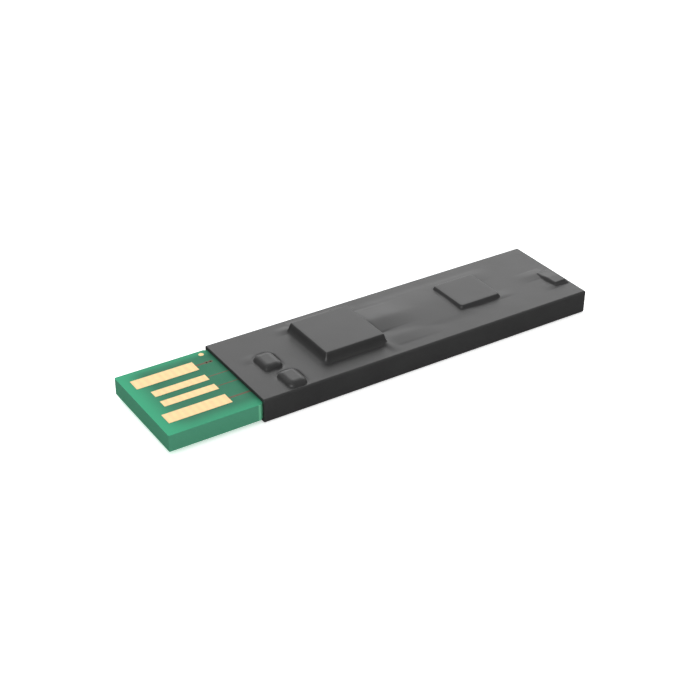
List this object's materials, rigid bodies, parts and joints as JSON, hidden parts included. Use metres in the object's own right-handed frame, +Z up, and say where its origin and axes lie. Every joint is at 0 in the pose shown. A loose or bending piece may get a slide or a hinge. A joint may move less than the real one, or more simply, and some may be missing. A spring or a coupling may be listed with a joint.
{
  "type": "usb microcontroller programmer",
  "caption": "Bare circuit board stick whose end is a USB-A plug with gold contacts; its chips and radio link are shrunk into a black film sleeve.",
  "frame": {"origin": "centre of the sleeve's underside footprint and plug, at the height that the stick rests on", "axes": "+X from the plug's tip to the rear end, +Z up out of the contacts, +Y across the board towards the ground contact"},
  "size_m": [0.052, 0.0122, 0.0037],
  "materials": {
    "laminate": "glass-epoxy laminate, satin",
    "solder_mask": "green solder mask, semi-gloss",
    "copper": "plain copper",
    "masked_copper": "copper seen through green solder mask",
    "gold_plating": "gold plate, fine grained",
    "solder": "reflowed solder, satin",
    "tinned_metal": "matte tin",
    "chip_moulding": "black epoxy moulding, matte",
    "fuse_resin": "dark green resin",
    "capacitor_ceramic": "fired ceramic, satin",
    "resistor_glaze": "black glaze",
    "pale_ceramic": "white ceramic, satin",
    "lid_metal": "plated lid, satin",
    "sleeve_film": "black polyolefin heat-shrink film, satin matte"
  },
  "bodies": {
    "root": {"board_core": "laminate", "top_solder_mask": "solder_mask", "bottom_solder_mask": "solder_mask", "bottom_ground_plane": "copper", "vbus_contact": "gold_plating", "data_minus_contact": "gold_plating", "data_plus_contact": "gold_plating", "ground_contact": "gold_plating", "vbus_trace": "masked_copper", "data_minus_trace": "masked_copper", "data_plus_trace": "masked_copper", "ground_trace": "masked_copper", "supply_trace": "masked_copper", "bus_traces": "masked_copper", "crystal_traces": "masked_copper", "capacitor_traces": "masked_copper", "antenna_feed_line": "masked_copper", "ground_stubs": "masked_copper", "plated_vias": "masked_copper", "gold_test_pad": "gold_plating", "component_lands": "gold_plating", "solder_joints": "solder", "microcontroller_body": "chip_moulding", "microcontroller_terminals": "tinned_metal", "radio_chip_body": "chip_moulding", "radio_chip_terminals": "tinned_metal", "input_fuse_body": "fuse_resin", "input_fuse_end_caps": "tinned_metal", "input_capacitor_body": "capacitor_ceramic", "input_capacitor_end_caps": "tinned_metal", "crystal_base": "pale_ceramic", "crystal_lid": "lid_metal", "load_capacitor_bodies": "capacitor_ceramic", "load_capacitor_end_caps": "tinned_metal", "decoupling_capacitor_bodies": "capacitor_ceramic", "decoupling_capacitor_end_caps": "tinned_metal", "bias_resistor_body": "resistor_glaze", "bias_resistor_end_caps": "tinned_metal", "matching_capacitor_bodies": "capacitor_ceramic", "matching_capacitor_end_caps": "tinned_metal", "chip_antenna_body": "pale_ceramic", "chip_antenna_end_caps": "tinned_metal", "heat_shrink_sleeve": "sleeve_film"}
  },
  "joints": []
}
